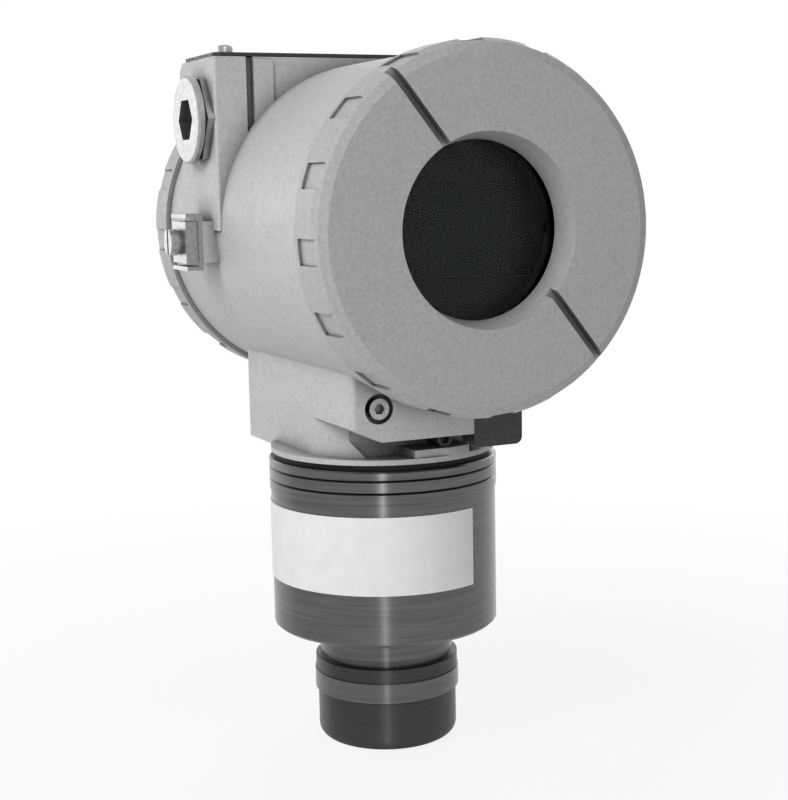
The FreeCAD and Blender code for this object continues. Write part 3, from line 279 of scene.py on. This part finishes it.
def turned_steel():
    """Stainless steel with turning marks round the vertical axis, duller on the port's bands,
    which also carry painted shade.
    """
    # painted shade: grey(96) is darker than bare stainless steel, standing in for the dark
    # surroundings the steel mirrors
    look = Look("turned_steel", grey(96), 0.27, 1.0)
    look.set("Anisotropic", 0.9)
    look.set("Anisotropic Rotation", 0.25)
    tangent = look.node("ShaderNodeTangent", direction_type="RADIAL", axis="Z")
    look.set("Tangent", tangent.outputs["Tangent"])
    up = look.split(look.place)["Z"]
    foot = look.ranged(up, 1.0, 0.0, PORT_FOOT, PORT_FOOT + PORT_FOOT_BLEND)
    band = look.math("COMPARE", up, PORT_BAND_MIDDLE, PORT_BAND_HALF)
    dull_and_painted_shade = look.math("MAXIMUM", foot, band)
    # painted shade: the steel darkens in grooves and corners
    colour = look.painted_recess_shade(look.mottle(0.9 * MM, 0.12, 4.0, (0.04, 0.04, 1.0)), 3 * MM, 0.15)
    # painted shade: the port's foot and band are darkened towards grey 60
    look.paint(look.math("MULTIPLY", dull_and_painted_shade, 0.75), colour, (*grey(60), 1.0))
    unevenness = look.math("MULTIPLY", look.noise(6 * MM, 3.0), 0.1)
    look.set("Roughness", look.math("ADD", look.ranged(dull_and_painted_shade, 0.24, 0.42, 0.0, 1.0), unevenness))
    place, radius, length = mount_hole("process_connection")
    profile, _ = look.turns(2, place, radius, length / 2, length)
    lines = look.noise(0.3 * MM, 2.0, (0.02, 0.02, 1.0))
    look.bump(0.35, (lines, 0.012 * MM), (profile, THREAD_DEPTH))
    return look.material


def bright_steel():
    look = Look("bright_steel", grey(165), 0.36, 1.0)
    # painted shade: the steel darkens in grooves and corners
    look.painted_recess_shade(look.mottle(0.8 * MM, 0.12), 2.5 * MM, 0.3)
    look.vary_roughness(1.5 * MM, 0.3, 0.42)
    look.bump(0.3, (look.noise(0.4 * MM), 0.02 * MM))
    return look.material


def dark_steel():
    # its dark tone is partly painted shade, for the shade on the ground screw's parts and the
    # stop block under the neck
    look = Look("dark_steel", grey(50), 0.45, 0.3)
    # painted shade: the steel darkens further in grooves and corners
    look.painted_recess_shade(look.mottle(1.0 * MM, 0.25), 2 * MM, 0.5)
    look.vary_roughness(0.8 * MM, 0.35, 0.6)
    look.bump(0.4, (look.noise(0.6 * MM), 0.05 * MM))
    return look.material


def label_film():
    look = Look("label_film", grey(243), 0.5, specular=0.3)
    look.mottle(5 * MM, 0.025)
    look.vary_roughness(4 * MM, 0.45, 0.55)
    look.bump(0.2, (look.noise(0.5 * MM), 0.01 * MM))
    return look.material


def rubber():
    look = Look("rubber", grey(24), 0.6, specular=0.25)
    look.mottle(0.7 * MM, 0.25)
    look.bump(0.4, (look.noise(0.4 * MM), 0.03 * MM))
    return look.material


def black_plastic():
    look = Look("black_plastic", grey(14), 0.5, specular=0.15)
    look.mottle(2 * MM, 0.2)
    look.bump(0.4, (look.noise(0.3 * MM), 0.02 * MM))
    return look.material


def display_face():
    look = Look("display_face", grey(12), 0.3, specular=0.12)
    look.mottle(6 * MM, 0.08)
    look.vary_roughness(9 * MM, 0.28, 0.32)
    return look.material


def board():
    look = Look("board", (0.02, 0.09, 0.04), 0.4)
    look.mottle(3 * MM, 0.2)
    look.bump(0.4, (look.noise(0.6 * MM), 0.03 * MM))
    return look.material


def sealing_glass():
    look = Look("sealing_glass", grey(120), 0.3)
    look.mottle(2 * MM, 0.12)
    look.bump(0.3, (look.noise(1.0 * MM), 0.03 * MM))
    return look.material


def window_glass():
    """Coated glass, so it mirrors less than plain glass."""
    look = Look("window_glass", (0.86, 0.88, 0.88), 0.01)
    look.set("Transmission Weight", 1.0)
    look.set("IOR", 1.16)
    look.vary_roughness(7 * MM, 0.0, 0.025)
    return look.material


LOOKS = {
    "steel": turned_steel(),
    "label": label_film(),
    "rubber": rubber(),
    "painted_body": cast_paint("painted_body", 193, 0.07, casting_threads()),
    "painted_cover": cast_paint("painted_cover", 180, 0.08, cover_threads()),
    "glass": window_glass(),
    "insulator": sealing_glass(),
    "board": board(),
    "black_plastic": black_plastic(),
    "lcd": display_face(),
    "dark_steel": dark_steel(),
    "bright_steel": bright_steel(),
}


# ---- pieces ----

def dress_nodes():
    for part in frame["record"]["subparts"]:
        node = frame["nodes"][part["node"]]
        node.data.materials.clear()
        node.data.materials.append(LOOKS[part["material_slot"]])


def shorten_springs():
    """Gives each button's spring a mesh of its own."""
    for joint in frame["record"]["behaviour"]["joints"]:
        name = joint["name"].removesuffix("_button_press")
        if name == joint["name"]:
            continue
        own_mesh(frame["nodes"][name + "_spring"])


# ---- studio ----

def direction(azimuth, elevation):
    """Unit vector from the part. Azimuth 0 is the -Y side, and 90 the +X side."""
    a, e = math.radians(azimuth), math.radians(elevation)
    return Vector((math.sin(a) * math.cos(e), -math.cos(a) * math.cos(e), math.sin(e)))


def light_path_share(tree):
    """1 for camera, glossy and transmission rays, 0 for the rays that light the object."""
    path = tree.nodes.new("ShaderNodeLightPath")
    total = path.outputs["Is Camera Ray"]
    for name in ("Is Glossy Ray", "Is Transmission Ray"):
        either = tree.nodes.new("ShaderNodeMath")
        either.operation = "MAXIMUM"
        tree.links.new(total, either.inputs[0])
        tree.links.new(path.outputs[name], either.inputs[1])
        total = either.outputs["Value"]
    return total


def studio_world():
    """Plain white to look at, and dimmer as a light."""
    world = bpy.data.worlds.new("studio")
    bpy.context.scene.world = world
    world.use_nodes = True
    tree = world.node_tree
    background = tree.nodes["Background"]
    background.inputs["Color"].default_value = (1, 1, 1, 1)
    level = tree.nodes.new("ShaderNodeMapRange")
    level.inputs["To Min"].default_value = WORLD_LEVEL
    level.inputs["To Max"].default_value = 1.0
    tree.links.new(light_path_share(tree), level.inputs["Value"])
    tree.links.new(level.outputs["Result"], background.inputs["Strength"])


def floor_look():
    """Pale floor that keeps its shadows near the part and turns plain white away from it."""
    look = Look("floor", (0.9, 0.9, 0.9), 0.9)
    look.mottle(40 * MM, 0.01)
    distance = look.node("ShaderNodeVectorMath", operation="LENGTH")
    look.feed(distance.inputs[0], look.place)
    veil = look.ranged(distance.outputs["Value"], FLOOR_VEIL_NEAR, 1.0,
                       FLOOR_VEIL_START, FLOOR_VEIL_REACH)
    mix = look.node("ShaderNodeMixShader")
    look.feed(mix.inputs["Fac"], look.math("MULTIPLY", veil, light_path_share(look.tree)))
    look.feed(mix.inputs[1], look.shader.outputs["BSDF"])
    look.feed(mix.inputs[2], look.node("ShaderNodeEmission").outputs["Emission"])
    look.feed(look.tree.nodes["Material Output"].inputs["Surface"], mix.outputs["Shader"])
    return look.material


def studio_floor():
    corners = []
    for i in range(FLOOR_SIDES):
        angle = math.tau * i / FLOOR_SIDES
        corners.append((FLOOR_RADIUS * math.cos(angle), FLOOR_RADIUS * math.sin(angle), 0))
    mesh = bpy.data.meshes.new("floor")
    mesh.from_pydata(corners, [], [list(range(FLOOR_SIDES))])
    mesh.materials.append(floor_look())
    floor = bpy.data.objects.new("floor", mesh)
    floor.location = (CENTRE.x, CENTRE.y, LOW.z - FLOOR_DROP)
    bpy.context.scene.collection.objects.link(floor)


def soft_light(name, azimuth, elevation, distance, width, height, power, mirrored):
    """A rectangular softbox aimed at the part."""
    away = direction(azimuth, elevation)
    lamp = bpy.data.lights.new(name, "AREA")
    lamp.shape = "RECTANGLE"
    lamp.size = width
    lamp.size_y = height
    lamp.energy = power
    thing = bpy.data.objects.new(name, lamp)
    thing.location = CENTRE + away * distance
    thing.rotation_euler = (-away).to_track_quat("-Z", "Y").to_euler()
    thing.visible_glossy = mirrored
    bpy.context.scene.collection.objects.link(thing)


def camera():
    back = direction(CAMERA_AZIMUTH, CAMERA_ELEVATION)
    lens = bpy.data.cameras.new("camera")
    lens.lens = CAMERA_LENS
    lens.clip_start = CAMERA_CLIP
    thing = bpy.data.objects.new("camera", lens)
    place = Matrix.Translation(CAMERA_AIM + back * CAMERA_DISTANCE)
    turn = (-back).to_track_quat("-Z", "Y").to_matrix().to_4x4()
    thing.matrix_world = place @ turn @ Matrix.Rotation(math.radians(CAMERA_ROLL), 4, "Z")
    bpy.context.scene.collection.objects.link(thing)
    bpy.context.scene.camera = thing


dress_nodes()
studio_world()
studio_floor()
for lamp_name, settings in LAMPS.items():
    soft_light(lamp_name, *settings)
shorten_springs()
camera()
bpy.context.scene.view_settings.view_transform = "Standard"
